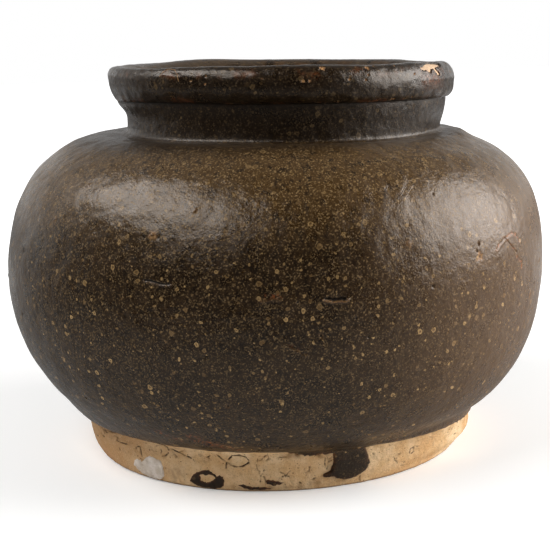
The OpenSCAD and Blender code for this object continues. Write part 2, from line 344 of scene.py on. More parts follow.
def settle(points):
    # Leans, tilts and dents points, in millimetres, the way the fired jar came out of the kiln
    x, y, z = points.T
    r = np.maximum(np.hypot(x, y), 1e-6)
    side = x / r
    run = runAt(z)
    rng = np.random.default_rng(sit["seed"])
    way = rng.normal(size=(3, 24)) / sit["dentSize"]
    dent = np.sin(points @ way + rng.uniform(0, 2 * np.pi, 24)).sum(1) / math.sqrt(12) * sit["dentDepth"]
    out = np.where(side < 0, eased(run, sit["leftSide"]), eased(run, sit["rightSide"])) * side ** 2
    # On the left the rolled band runs down into the neck without a crease
    out += sit["rimFill"] * np.exp(-((run - 200.5) / 5.5) ** 2) * smoothStep(-side, 0.6, 0.97) * smoothStep(r, 79, 82)
    out = (out + dent * smoothStep(z, 2, 30)) * smoothStep(r, 20, 60)
    low = z < 2
    nr = np.where(low, 1.0, np.interp(run, clayPath["s"], clayPath["nr"]))
    nz = np.where(low, 0.0, np.interp(run, clayPath["s"], clayPath["nz"]))
    a = np.arctan2(x, -y)
    lip = sit["lipWave"] * smoothStep(z, 184, 198) * (np.sin(2 * a + 0.6) + 0.6 * np.sin(5 * a + 2.0) + 0.4 * np.sin(9 * a))
    lip -= smoothStep(z, 186, 198) * smoothStep(-side, 0.4, 0.95)
    # The collar meets the shoulder in a tighter corner than the plain outline, and lower in front
    tight = sit["corner"] * np.exp(-((r - 82.7) / 2.6) ** 2 - ((z - 165.2) / 2.6) ** 2)
    lip -= tight + sit["collarDrop"] * smoothStep(-y / r, 0.1, 0.9) * np.exp(-((r - 83) / 9) ** 2 - ((z - 164.5) / 6) ** 2)
    return np.stack([x + (out * nr - tight) * side + eased(z, sit["lean"]), y + (out * nr - tight) * y / r,
                     z + out * nz - sit["tilt"] * x * smoothStep(z, 0, 21.7) + lip], 1)


def settleMesh(made):
    points = np.zeros(len(made.data.vertices) * 3, np.float32)
    made.data.vertices.foreach_get("co", points)
    moved = settle(points.reshape(-1, 3).astype(float) / mm) * mm
    made.data.vertices.foreach_set("co", moved.astype(np.float32).ravel())
    made.data.update()
    return made


def addNode(tree, kind, inputs=None, **settings):
    made = tree.nodes.new(kind)
    for label, value in settings.items():
        setattr(made, label, value)
    for label, value in (inputs or {}).items():
        socket = made.inputs[label]
        if isinstance(value, bpy.types.NodeSocket):
            tree.links.new(value, socket)
        else:
            socket.default_value = value
    return made


def maths(tree, operation, a, b=0.0):
    return addNode(tree, "ShaderNodeMath", {0: a, 1: b}, operation=operation).outputs[0]


# Turning on the wheel: the outline in the piece's own mesh is swept round the axis
def makeLatheTree():
    tree = bpy.data.node_groups.new("turnOutline", "GeometryNodeTree")
    face = tree.interface
    face.new_socket("Outline", in_out="INPUT", socket_type="NodeSocketGeometry")
    steps = face.new_socket("Steps Round", in_out="INPUT", socket_type="NodeSocketInt")
    crowd = face.new_socket("Crowding At Front", in_out="INPUT", socket_type="NodeSocketFloat")
    finish = face.new_socket("Finish", in_out="INPUT", socket_type="NodeSocketMaterial")
    face.new_socket("Turned", in_out="OUTPUT", socket_type="NodeSocketGeometry")
    into = addNode(tree, "NodeGroupInput").outputs
    size = addNode(tree, "GeometryNodeAttributeDomainSize", {"Geometry": into["Outline"]}, component="MESH")
    columns = maths(tree, "ADD", into["Steps Round"], 1.0)
    grid = addNode(tree, "GeometryNodeMeshGrid", {"Size X": 1.0, "Size Y": 1.0, "Vertices X": columns,
                                                  "Vertices Y": size.outputs["Point Count"]})
    spot = addNode(tree, "ShaderNodeSeparateXYZ", {0: addNode(tree, "GeometryNodeInputPosition").outputs[0]})
    last = maths(tree, "SUBTRACT", size.outputs["Point Count"], 1.0)
    row = maths(tree, "ROUND", maths(tree, "MULTIPLY", maths(tree, "ADD", spot.outputs["Y"], 0.5), last))
    sample = addNode(tree, "GeometryNodeSampleIndex", {
        "Geometry": into["Outline"], "Value": addNode(tree, "GeometryNodeInputPosition").outputs[0],
        "Index": row}, data_type="FLOAT_VECTOR", domain="POINT")
    outline = addNode(tree, "ShaderNodeSeparateXYZ", {0: sample.outputs[0]})
    run = addNode(tree, "GeometryNodeSampleIndex", {
        "Geometry": into["Outline"], "Value": addNode(tree, "GeometryNodeInputNamedAttribute", {"Name": "run"},
                                                      data_type="FLOAT").outputs["Attribute"],
        "Index": row}, data_type="FLOAT", domain="POINT")
    u = maths(tree, "MULTIPLY", spot.outputs["X"], 2 * math.pi)
    turn = maths(tree, "SUBTRACT", u, maths(tree, "MULTIPLY", into["Crowding At Front"], maths(tree, "SINE", u)))
    x = maths(tree, "MULTIPLY", outline.outputs["X"], maths(tree, "SINE", turn))
    y = maths(tree, "MULTIPLY", outline.outputs["X"], maths(tree, "MULTIPLY", maths(tree, "COSINE", turn), -1.0))
    where = addNode(tree, "ShaderNodeCombineXYZ", {"X": x, "Y": y, "Z": outline.outputs["Z"]}).outputs[0]
    marked = addNode(tree, "GeometryNodeStoreNamedAttribute", {
        "Geometry": grid.outputs["Mesh"], "Name": "run", "Value": run.outputs[0]}, data_type="FLOAT", domain="POINT")
    marked = addNode(tree, "GeometryNodeStoreNamedAttribute", {
        "Geometry": marked.outputs[0], "Name": "turn", "Value": turn}, data_type="FLOAT", domain="POINT")
    placed = addNode(tree, "GeometryNodeSetPosition", {"Geometry": marked.outputs[0], "Position": where})
    closed = addNode(tree, "GeometryNodeMergeByDistance", {"Geometry": placed.outputs[0], "Distance": 2e-6})
    plain = addNode(tree, "GeometryNodeRealizeInstances", {"Geometry": closed.outputs[0]})
    done = addNode(tree, "GeometryNodeSetMaterial", {"Geometry": plain.outputs[0], "Material": into["Finish"]})
    addNode(tree, "NodeGroupOutput", {0: done.outputs[0]})
    return tree, steps.identifier, crowd.identifier, finish.identifier


latheTree, stepsSocket, crowdSocket, finishSocket = makeLatheTree()


def plainMesh(made):
    # Turns what the modifiers make into the object's own mesh
    graph = bpy.context.evaluated_depsgraph_get()
    mesh = bpy.data.meshes.new_from_object(made.evaluated_get(graph), depsgraph=graph)
    made.modifiers.clear()
    made.data = mesh
    mesh.name = made.name
    return made


def turned(name, outline, material, steps=160, crowd=0.35, run=None, sharp=35.0):
    # outline holds radius and height in millimetres; a loop repeats its first point
    outline = np.asarray(outline, float)
    points = np.stack([outline[:, 0], np.zeros(len(outline)), outline[:, 1]], 1) * mm
    made = newMesh(name, points, [], {"run": np.zeros(len(points)) if run is None else run})
    made.data.edges.add(len(points) - 1)
    for i, edge in enumerate(made.data.edges):
        edge.vertices = (i, i + 1)
    modifier = made.modifiers.new("turning", "NODES")
    modifier.node_group = latheTree
    modifier[stepsSocket] = steps
    modifier[crowdSocket] = crowd
    modifier[finishSocket] = material
    return tidyMesh(plainMesh(made), sharp)


def finishPiece(made, material, slot, *nodes):
    settleMesh(made)
    made.data.materials.clear()
    made.data.materials.append(material)
    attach(made, "root")
    if nodes:
        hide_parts(*nodes)
    print("piece", made.name, len(made.data.vertices), "points", len(made.data.polygons), "faces")
    return made


# Finishes: every pattern reads Object coordinates, turned into millimetres
def newFinish(name):
    made = bpy.data.materials.new(name)
    made.use_nodes = True
    tree = made.node_tree
    spot = addNode(tree, "ShaderNodeTexCoord").outputs["Object"]
    inMm = addNode(tree, "ShaderNodeVectorMath", {0: spot, "Scale": 1000.0}, operation="SCALE").outputs[0]
    return made, tree, tree.nodes["Principled BSDF"], inMm


def noise(tree, place, size, detail=2.0, rough=0.5, seed=0.0, low=0.3, high=0.7, stretch=None):
    # Noise with features of about size millimetres, spread from 0 at low to 1 at high
    if stretch:
        place = addNode(tree, "ShaderNodeVectorMath", {0: place, 1: stretch}, operation="MULTIPLY").outputs[0]
    made = addNode(tree, "ShaderNodeTexNoise", {"Vector": place, "Scale": 1 / size, "Detail": detail,
                                                "Roughness": rough, "W": seed}, noise_dimensions="4D")
    return spread(tree, made.outputs[0], low, high)


def spread(tree, value, low, high, start=0.0, end=1.0, smooth=True):
    return addNode(tree, "ShaderNodeMapRange", {"Value": value, "From Min": low, "From Max": high, "To Min": start,
                                                "To Max": end},
                   interpolation_type="SMOOTHSTEP" if smooth else "LINEAR").outputs[0]


def mixed(tree, share, a, b, blend="MIX"):
    sockets = {0: share, 6: (*a, 1) if isinstance(a, tuple) else a, 7: (*b, 1) if isinstance(b, tuple) else b}
    return addNode(tree, "ShaderNodeMix", sockets, data_type="RGBA", blend_type=blend).outputs[2]


def times(tree, *values):
    out = values[0]
    for value in values[1:]:
        out = maths(tree, "MULTIPLY", out, value)
    return out


def specks(tree, place, gap, share, least, most, edge, seed):
    # Round spots of differing size in some of the cells: how much of a spot, and how near its middle
    shifted = addNode(tree, "ShaderNodeVectorMath", {0: place, 1: (seed, seed * 1.7, -seed)}, operation="ADD").outputs[0]
    wobble = addNode(tree, "ShaderNodeTexNoise", {"Vector": shifted, "Scale": 0.9 / most, "Detail": 1.0})
    shifted = addNode(tree, "ShaderNodeVectorMath", {
        0: addNode(tree, "ShaderNodeVectorMath", {0: wobble.outputs["Color"], "Scale": 1.1 * most},
                   operation="SCALE").outputs[0], 1: shifted}, operation="ADD").outputs[0]
    cell = addNode(tree, "ShaderNodeTexVoronoi", {"Vector": shifted, "Scale": 1 / gap, "Randomness": 1.0})
    tint = addNode(tree, "ShaderNodeSeparateColor", {0: cell.outputs["Color"]})
    far = maths(tree, "MULTIPLY", cell.outputs["Distance"], gap)
    size = spread(tree, maths(tree, "POWER", tint.outputs[1], 2.0), 0, 1, least, most, smooth=False)
    chosen = maths(tree, "LESS_THAN", tint.outputs[0], share)
    inner = maths(tree, "SUBTRACT", size, far)
    return (times(tree, chosen, spread(tree, inner, 0, edge)), times(tree, chosen, spread(tree, inner, edge, 3.2 * edge)),
            tint.outputs[2])


def attribute(tree, name):
    return addNode(tree, "ShaderNodeAttribute", attribute_name=name).outputs["Fac"]


glazeLook = {
    "deep": (0.0052, 0.0024, 0.0009), "brown": (0.021, 0.0105, 0.0038), "olive": (0.060, 0.032, 0.0105),
    "tan": (0.44, 0.28, 0.115), "speckHeart": (0.10, 0.055, 0.02), "rust": (0.22, 0.065, 0.018),
    # The colour added on top at the +X side and inside the mouth is painted light
    "bite": (0.50, 0.27, 0.10), "gold": (0.064, 0.033, 0.0095), "paintedLight": (0.068, 0.036, 0.016), "roughness": 0.30, "grain": 0.24, "swell": 0.42,
}


def makeGlaze(name, look):
    made, tree, shader, place = newFinish(name)
    part = addNode(tree, "ShaderNodeSeparateXYZ", {0: place})
    height = part.outputs["Z"]
    clouds = noise(tree, place, 26, 3, 0.55, 1.0, 0.36, 0.66)
    patches = noise(tree, place, 7.5, 3, 0.6, 2.0, 0.35, 0.68)
    mottle = noise(tree, place, 1.5, 3, 0.65, 3.0, 0.36, 0.72)
    grain = noise(tree, place, 0.75, 1, 0.5, 4.0, 0.5, 0.74)
    flecks = noise(tree, place, 2.6, 2, 0.5, 5.0, 0.5, 0.68, stretch=(1, 1, 0.6))
    upper = times(tree, spread(tree, height, 116, 152), spread(tree, height, 166, 158))
    neck = spread(tree, height, 157, 165)
    base = mixed(tree, maths(tree, "ADD", times(tree, clouds, 0.5), times(tree, patches, 0.5)), look["deep"], look["brown"])
    base = mixed(tree, times(tree, upper, 0.75), base, look["gold"])
    base = mixed(tree, times(tree, mottle, maths(tree, "ADD", times(tree, upper, 0.4), 0.38)), base, look["olive"])
    base = mixed(tree, times(tree, flecks, 0.75), base, look["deep"])
    base = mixed(tree, times(tree, grain, maths(tree, "ADD", times(tree, upper, 0.15), 0.25)), base, look["tan"])
    base = mixed(tree, times(tree, neck, 0.6), base, look["deep"])
    lowDown = times(tree, spread(tree, height, 150, 70, 0.5, 1.0), spread(tree, neck, 0, 1, 1.0, 0.4))
    for gap, share, least, most, edge, seed, force in (
            (3.6, 0.42, 0.7, 1.45, 0.3, 11.0, 0.85), (2.1, 0.24, 0.4, 0.7, 0.25, 23.0, 0.75),
            (1.15, 0.16, 0.2, 0.38, 0.2, 37.0, 0.6)):
        spotShare, heart, tint = specks(tree, place, gap, share, least, most, edge, seed)
        edgeColour = mixed(tree, tint, look["speckHeart"], look["tan"])
        colour = mixed(tree, times(tree, heart, 0.9), edgeColour, look["speckHeart"])
        base = mixed(tree, times(tree, spotShare, lowDown, force), base, colour)
    base = mixed(tree, times(tree, attribute(tree, "wear"), noise(tree, place, 1.6, 3, 0.6, 6.0, 0.36, 0.6)), base, look["rust"])
    biteColour = mixed(tree, noise(tree, place, 0.8, 2, 0.6, 9.0, 0.35, 0.65), (0.16, 0.06, 0.02), look["bite"])
    base = mixed(tree, attribute(tree, "bite"), base, biteColour)
    # Painted shade: near black in the pits and grooves and along the crease under the rim; on the run over the foot it
    # is the darker thick glaze
    base = mixed(tree, attribute(tree, "shadeAndDarkGlaze"), base, (0.004, 0.003, 0.002))
    # Painted light: the glaze is made lighter and browner on the +X side, where the right panel's light falls, fading
    # out towards the neck
    paintedLight = times(tree, spread(tree, part.outputs["X"], 10, 125), spread(tree, height, 158, 122))
    base = mixed(tree, paintedLight, base, look["paintedLight"], "ADD")
    # Painted highlight: a lighter, patchy brown sheen on the inside of the mouth, where the pale attribute is set
    base = mixed(tree, times(tree, attribute(tree, "pale"), patches), base, look["paintedLight"], "ADD")
    tree.links.new(base, shader.inputs["Base Color"])
    rough = maths(tree, "ADD", spread(tree, grain, 0, 1, look["roughness"] - 0.04, look["roughness"] + 0.14),
                  times(tree, attribute(tree, "bite"), 0.4))
    rough = maths(tree, "ADD", rough, times(tree, patches, 0.08))
    rough = maths(tree, "ADD", rough, times(tree, attribute(tree, "shadeAndDarkGlaze"), 0.5))
    junction = times(tree, spread(tree, height, 155, 160), spread(tree, height, 172, 166))
    rough = maths(tree, "ADD", rough, times(tree, junction, 0.08))
    tree.links.new(rough, shader.inputs["Roughness"])
    shader.inputs["IOR"].default_value = 1.48
    shader.inputs["Specular Tint"].default_value = (1.0, 0.89, 0.79, 1)
    fineBump = addNode(tree, "ShaderNodeBump", {"Strength": look["grain"], "Distance": 0.0003,
                                                "Height": noise(tree, place, 0.7, 2, 0.55, 7.0, 0.2, 0.8)})
    wideBump = addNode(tree, "ShaderNodeBump", {"Strength": look["swell"], "Distance": 0.0006, "Normal": fineBump.outputs[0],
                                                "Height": noise(tree, place, 5.0, 2, 0.5, 8.0, 0.2, 0.8)})
    tree.links.new(wideBump.outputs[0], shader.inputs["Normal"])
    return made


clayLook = {
    "buff": (0.64, 0.40, 0.19), "pale": (0.79, 0.575, 0.34), "flash": (0.55, 0.27, 0.09), "stainAndShade": (0.15, 0.075, 0.028),
    "paintedShade": (0.40, 0.215, 0.088), "fresh": (0.60, 0.42, 0.29),
    "crack": (0.035, 0.018, 0.009), "roughness": 0.82, "grit": 0.5,
}


def makeClay(name, look):
    made, tree, shader, place = newFinish(name)
    part = addNode(tree, "ShaderNodeSeparateXYZ", {0: place})
    flashing = times(tree, noise(tree, place, 30, 3, 0.55, 31.0, 0.38, 0.64),
                     maths(tree, "ADD", spread(tree, part.outputs["Y"], -95, 10, 0.25, 0.9), 0.0))
    base = mixed(tree, noise(tree, place, 9, 4, 0.6, 32.0, 0.34, 0.68), look["buff"], look["pale"])
    base = mixed(tree, flashing, base, look["flash"])
    # Painted shade: the clay is made darker and browner towards -X, the side the lights reach least
    base = mixed(tree, times(tree, spread(tree, part.outputs["X"], -25, -95), 0.75), base, look["paintedShade"])
    base = mixed(tree, times(tree, noise(tree, place, 2.6, 4, 0.65, 33.0, 0.5, 0.75), 0.4), base, look["stainAndShade"])
    base = mixed(tree, times(tree, noise(tree, place, 0.7, 2, 0.6, 35.0, 0.52, 0.74), 0.4), base, look["stainAndShade"])
    base = mixed(tree, times(tree, noise(tree, place, 0.9, 2, 0.6, 36.0, 0.55, 0.74), 0.5), base, look["pale"])
    grit, heart, tint = specks(tree, place, 1.3, 0.4, 0.15, 0.42, 0.12, 5.0)
    base = mixed(tree, times(tree, grit, 0.8), base, look["stainAndShade"])
    base = mixed(tree, attribute(tree, "fresh"), base, look["fresh"])
    # This attribute holds real stains and the painted shade along the foot's bottom edge
    base = mixed(tree, attribute(tree, "stainAndShade"), base, look["stainAndShade"])
    base = mixed(tree, attribute(tree, "crack"), base, look["crack"])
    tree.links.new(base, shader.inputs["Base Color"])
    shader.inputs["Roughness"].default_value = look["roughness"]
    shader.inputs["Specular IOR Level"].default_value = 0.25
    bump = addNode(tree, "ShaderNodeBump", {"Strength": look["grit"], "Distance": 0.0004,
                                            "Height": noise(tree, place, 0.9, 4, 0.65, 34.0, 0.2, 0.8)})
    tree.links.new(bump.outputs[0], shader.inputs["Normal"])
    return made


def makeWash(name):
    made, tree, shader, place = newFinish(name)
    base = mixed(tree, noise(tree, place, 4, 4, 0.6, 41.0, 0.35, 0.68), (0.54, 0.45, 0.36), (0.74, 0.66, 0.59))
    base = mixed(tree, times(tree, noise(tree, place, 1.2, 3, 0.6, 42.0, 0.55, 0.75), 0.5), base, (0.36, 0.25, 0.15))
    tree.links.new(base, shader.inputs["Base Color"])
    shader.inputs["Roughness"].default_value = 0.9
    bump = addNode(tree, "ShaderNodeBump", {"Strength": 0.5, "Distance": 0.0004,
                                            "Height": noise(tree, place, 0.8, 4, 0.65, 43.0, 0.2, 0.8)})
    tree.links.new(bump.outputs[0], shader.inputs["Normal"])
    return made


brownGlaze = makeGlaze("brownGlaze", glazeLook)
liningGlaze = makeGlaze("liningGlaze", {**glazeLook, "deep": (0.03, 0.019, 0.011), "brown": (0.075, 0.05, 0.03), "roughness": 0.36})
thickGlaze = makeGlaze("thickGlaze", {**glazeLook, "deep": (0.010, 0.0048, 0.0022), "brown": (0.028, 0.013, 0.0055),
                                      "olive": (0.035, 0.019, 0.009), "tan": (0.09, 0.05, 0.022), "roughness": 0.5})
bareClay = makeClay("bareClay", clayLook)
kilnWash = makeWash("kilnWash")
print("finishes made")

# Bare clay members, luted to each other along slanted seams
clay = {"stepsRound": 200, "crowdingAtFront": 0.3, "seamSteps": 3}

wallSteps = 48
wallAt = np.linspace(0, 1, wallSteps + 1)
wallDepth = jar["wallT"] - jar["ridgeH"] * np.sin(np.pi * wallAt) * np.sin(2 * np.pi * jar["ridges"] * wallAt)
insideLower = inset(lowerCurve, wallAt, wallDepth)
insideUpper = inset(upperCurve, wallAt, wallDepth)
cornerCurve = [(slabR, floorZ), (slabR + 9, floorZ), insideLower[0] - 9 * hemWay, insideLower[0]]
throatCurve = [insideUpper[-1], insideUpper[-1] - np.array([6, 0]), (mouthR, topZ - 8 - jar["boreLength"] - 9),
               (mouthR, topZ - 8 - jar["boreLength"])]
short = np.linspace(0, 1, 13)


cornerClay = inset(cornerCurve, short, -jar["glazeT"])
throatClay = inset(throatCurve, short, -jar["glazeT"])
lowerClay = inset(lowerCurve, wallAt, wallDepth - jar["glazeT"])
upperClay = inset(upperCurve, wallAt, wallDepth - jar["glazeT"])
seamRim = np.array([[mouthR + jar["glazeT"], creaseZ + 3]])
lap = int(clay["seamSteps"] * wallSteps / 24)


def clayStretch(low, high):
    kept = (clayPath["s"] >= low - 1e-6) & (clayPath["s"] <= high + 1e-6)
    return np.stack([clayPath["r"][kept], clayPath["z"][kept]], 1)


def loop(*parts):
    line = np.concatenate([np.asarray(p, float).reshape(-1, 2) for p in parts])
    return np.concatenate([line, line[:1]])


def nearLine(az, s, line):
    # Distance in millimetres to a line of azimuths and lengths along the outside
    scale = math.radians(1) * 98.0
    best = np.full(len(az), 1e9)
    for (a0, y0), (a1, y1) in zip(line, line[1:]):
        x0, x1 = a0 * scale, a1 * scale
        x = az * scale
        t = np.clip(((x - x0) * (x1 - x0) + (s - y0) * (y1 - y0)) / max((x1 - x0) ** 2 + (y1 - y0) ** 2, 1e-9), 0, 1)
        best = np.minimum(best, np.hypot(x - x0 - t * (x1 - x0), s - y0 - t * (y1 - y0)))
    return best


# Cracks, pits and stains of the bare foot: lines of azimuth and length along the outside
foot = {
    "cracks": [
        [(-42.2, -15.7), (-42.9, -15.5), (-44.0, -15.0), (-44.6, -13.1), (-44.3, -10.8), (-43.5, -9.6), (-42.4, -8.9), (-42.1, -10.0), (-42.3, -12.3), (-42.1, -13.9)],
        [(-35.5, -6.6), (-33.6, -4.7), (-32.4, -4.8), (-31.5, -5.7), (-31.4, -7.3), (-31.9, -9.4), (-33.2, -11.1), (-34.2, -11.5), (-34.4, -10.1), (-34.1, -7.6)],
        [(-36.7, -9.0), (-36.0, -9.8)], [(-30.1, -6.4), (-29.4, -7.1), (-28.1, -7.8), (-26.4, -6.3)],
        [(-30.1, -6.9), (-29.9, -8.8), (-29.2, -10.5)], [(-28.1, -7.8), (-26.5, -8.8), (-25.2, -9.5), (-24.2, -10.1), (-23.3, -12.2)],
        [(-20.1, -8.1), (-18.9, -9.3)], [(-18.4, -7.0), (-19.4, -8.7)], [(-16.5, -6.6), (-15.2, -9.0)], [(-14.1, -10.7), (-14.6, -13.5)],
        [(-53.6, -7.6), (-51.7, -7.7), (-53.1, -10.2), (-51.2, -10.3), (-47.8, -9.9)], [(-52.8, -13.6), (-52.8, -14.9)],
        [(-60.7, -7.5), (-56.1, -6.1), (-52.4, -5.2)], [(-42.5, -22.3), (-41.6, -22.6)],
        [(-15.7, -7.9), (-14.1, -10.3), (-12.9, -11.9), (-11.5, -12.6), (-9.7, -12.0), (-8.2, -10.8), (-7.7, -9.3), (-8.4, -7.2), (-10.1, -6.2), (-12.2, -6.6), (-13.3, -8.9)],
        [(-5.5, -10.1), (-5.2, -7.3), (-4.2, -5.9), (-3.7, -7.0), (-4.3, -8.7), (-5.1, -9.2)], [(-3.4, -7.0), (-2.5, -5.7), (-2.2, -7.7), (-2.9, -8.7)],
        [(0.0, -7.3), (3.5, -7.0)], [(4.9, -6.1), (6.2, -8.2)], [(-5.9, -10.5), (-5.7, -13.9), (-5.0, -17.2), (-5.4, -20.5)],
        [(-5.0, -17.2), (-3.8, -13.9)], [(-4.1, -17.2), (-3.6, -20.1)], [(0.2, -18.2), (2.3, -16.6), (3.3, -14.6)], [(1.1, -17.4), (2.9, -17.5)],
        [(7.1, -15.8), (8.6, -15.4), (8.8, -13.0)], [(13.3, -9.1), (13.1, -11.8), (13.2, -14.1)],
        [(13.7, -7.7), (14.1, -10.3), (14.0, -12.6), (13.6, -14.9)], [(14.2, -9.6), (15.2, -8.5)], [(14.3, -11.1), (15.3, -10.2)],
        [(8.7, -13.1), (8.7, -15.0), (7.7, -16.4), (7.1, -15.1), (7.3, -13.8)], [(5.6, -20.6), (6.0, -21.3)], [(9.2, -19.7), (10.0, -19.2)],
        [(27.2, -8.6), (27.7, -10.1)], [(39.8, -14.0), (39.8, -12.3), (40.4, -11.2), (41.5, -10.9), (41.6, -13.6), (40.6, -14.5)],
        [(34.1, -13.8), (34.5, -15.8), (35.8, -18.3)], [(36.9, -20.3), (38.5, -20.8)], [(37.6, -17.0), (38.2, -18.9)], [(42.4, -10.6), (43.4, -11.2)],
        [(35.6, -12.7), (36.2, -13.1)], [(47.4, -6.5), (48.8, -8.1)], [(23.4, -20.6), (23.0, -23.6)], [(0.5, -15.2), (1.8, -16.5), (2.4, -17.5)]],
    "crackWidth": 0.36, "crackDepth": 0.45, "backCracks": 46, "seed": 9,
    "stains": [(-30, -19, 5.0, 4.0, 0.35), (-14, -13, 3.0, 3.0, 0.12), (5, -5.5, 7.0, 2.2, 0.5), (12, -6.5, 3.5, 2.0, 0.6),
               (-3, -23, 30.0, 1.2, 0.35), (10, -22, 4.0, 2.0, 0.3), (-40, -23, 6, 1.5, 0.3), (23.2, -22.0, 0.8, 2.2, 0.4)],
}


def wanderingCracks(count, seed):
    # More of the same worm-like cracks for the sides and back that the photo doesn't show
    rng = np.random.default_rng(seed)
    lines = []
    for i in range(count):
        az, s, way = rng.uniform(58, 302), rng.uniform(-19, -5), rng.uniform(0, 6.3)
        curl = rng.normal(0, 0.5)
        line = [(az, s)]
        for k in range(rng.integers(3, 9)):
            way += curl + rng.normal(0, 0.25)
            az, s = az + 0.85 * math.cos(way), float(np.clip(s + 1.3 * math.sin(way), -21, -3))
            line.append((az, s))
        lines.append([(a if a < 180 else a - 360, b) for a, b in line])
    return lines


def breakRim(made):
    # Rough, fresh clay where the glaze has chipped off the rim
    points = np.zeros(len(made.data.vertices) * 3, np.float32)
    made.data.vertices.foreach_get("co", points)
    points = points.reshape(-1, 3).astype(float) / mm
    x, y, z = points.T
    az, s = np.degrees(np.arctan2(x, -y)), runAt(z)
    spot = smoothStep(-np.abs(az - 58), -11, -9.5) * smoothStep(z, 188, 191) * smoothStep(np.hypot(x, y), 76, 78)
    points[:, 2] -= spot * (0.25 + 0.22 * waves(az, s + np.hypot(x, y), 1.6, 28))
    made.data.vertices.foreach_set("co", (points * mm).astype(np.float32).ravel())
    made.data.attributes.new("fresh", "FLOAT", "POINT").data.foreach_set(
        "value", np.clip(spot * (0.85 + 0.3 * waves(az, s, 1.5, 29)), 0, 1).astype(np.float32))


def crackFoot(made):
    # Cuts the cracks and rough skin into the outside of the foot and notes them for the finish
    points = np.zeros(len(made.data.vertices) * 3, np.float32)
    made.data.vertices.foreach_get("co", points)
    points = points.reshape(-1, 3).astype(float) / mm
    x, y, z = points.T
    r = np.hypot(x, y)
    az, s = np.degrees(np.arctan2(x, -y)), runAt(z)
    outer = smoothStep(r, jar["footR"] - 2.5, jar["footR"] - 1.2) * (s < -0.5)
    crack, dip = np.zeros(len(r)), np.zeros(len(r))
    for i, line in enumerate(foot["cracks"] + wanderingCracks(foot["backCracks"], foot["seed"])):
        at = np.array(line)
        near = np.where((np.abs(az - at[:, 0].mean()) < np.ptp(at[:, 0]) / 2 + 2.5) & (outer > 0))[0]
        wide = foot["crackWidth"] * (0.85 + 0.3 * waves(az[near], s[near], 2.2, 40 + i))
        far = nearLine(az[near], s[near], line) + 0.18 * waves(az[near], s[near], 0.9, 80 + i)
        crack[near] = np.maximum(crack[near], smoothStep(-far, -wide * 1.15, -wide * 0.3) * np.clip(0.65 + 0.5 * waves(az[near], s[near], 2.5, 60 + i), 0.15, 1))
        dip[near] = np.maximum(dip[near], np.exp(-(far / wide) ** 2))
        dip[near] -= 0.25 * np.exp(-((far - 2.2 * wide) / wide) ** 2)
    stainAndShade = np.zeros(len(r))
    for a, b, wide, tall, force in foot["stains"]:
        spot = np.exp(-((az - a) * 1.71 / wide) ** 2 - ((s - b) / tall) ** 2)
        stainAndShade = np.maximum(stainAndShade, force * spot * (1 + 0.6 * waves(az, s, 1.8, 21)))
    # Painted shade: a dark band along the rounded bottom edge of the foot, where it meets the floor
    stainAndShade = np.maximum(stainAndShade, 0.75 * smoothStep(-s, 23.2, 25.2))
    rough = 0.10 * waves(az, s, 3.2, 31) + 0.07 * waves(az, s, 1.2, 32)
    push = outer * (rough - foot["crackDepth"] * dip)
    points[:, 0] += push * x / np.maximum(r, 1)
    points[:, 1] += push * y / np.maximum(r, 1)
    made.data.vertices.foreach_set("co", (points * mm).astype(np.float32).ravel())
    for label, values in (("crack", np.clip(crack, 0, 1) * outer), ("stainAndShade", np.clip(stainAndShade, 0, 1) * outer)):
        made.data.attributes.new(label, "FLOAT", "POINT").data.foreach_set("value", values.astype(np.float32))


floorSlab = turned("clayFloor", [(0, jar["floorLift"]), (ringR, jar["floorLift"]), (slabR, floorZ - jar["glazeT"]),
                                 (0, floorZ - jar["glazeT"])], bareClay, clay["stepsRound"], clay["crowdingAtFront"])
finishPiece(floorSlab, bareClay, "bare_clay", "floor_slab")
footRing = turned("clayFoot", loop((ringR, 0), clayStretch(marks["edge"] - 30, 0), cornerClay[::-1],
                                   (ringR, jar["floorLift"])), bareClay, 800, 0.65)
crackFoot(footRing)
finishPiece(footRing, bareClay, "bare_clay", "foot_ring")
lowerWall = turned("clayLower", loop(clayStretch(0, marks["belly"]), lowerClay[:wallSteps + 1 - lap][::-1]),
                   bareClay, clay["stepsRound"], clay["crowdingAtFront"])
finishPiece(lowerWall, bareClay, "bare_clay", "lower_wall")
upperWall = turned("clayUpper", loop(clayStretch(marks["belly"], marks["shoulder"]), upperClay[::-1],
                                     lowerClay[wallSteps - lap:-1][::-1]),
                   bareClay, clay["stepsRound"], clay["crowdingAtFront"])
finishPiece(upperWall, bareClay, "bare_clay", "upper_wall")
neckCollar = turned("clayNeck", loop(clayStretch(marks["shoulder"], marks["crease"]), seamRim, throatClay[::-1]),
                    bareClay, clay["stepsRound"], clay["crowdingAtFront"])
finishPiece(neckCollar, bareClay, "bare_clay", "neck_collar")
rimRoll = turned("clayRim", loop(clayStretch(marks["crease"], marks["bore"]), seamRim), bareClay, 350, 0.5)
breakRim(rimRoll)
finishPiece(rimRoll, bareClay, "bare_clay", "rim_roll")

# Glaze lining
lining = [(0, floorZ - jar["glazeT"])] + list(cornerClay) + list(lowerClay[1:]) + list(upperClay[1:]) \
    + list(throatClay[1:])
crestInside = inset(crestCurve, short, jar["glazeT"])[::-1]
crestOutside = inset(crestCurve, short, 0)[::-1]
liningIn = [(0, floorZ)] + list(inset(cornerCurve, short, 0)) + list(insideLower[1:]) + list(insideUpper[1:]) \
    + list(inset(throatCurve, short, 0)[1:])
innerGlaze = turned("glazeLining", np.array(lining + list(crestInside) + list(crestOutside[::-1]) + liningIn[::-1]),
                    liningGlaze, 350, 0.4)
finishPiece(innerGlaze, liningGlaze, "lining_glaze", "inner_glaze")
print("clay and lining made")

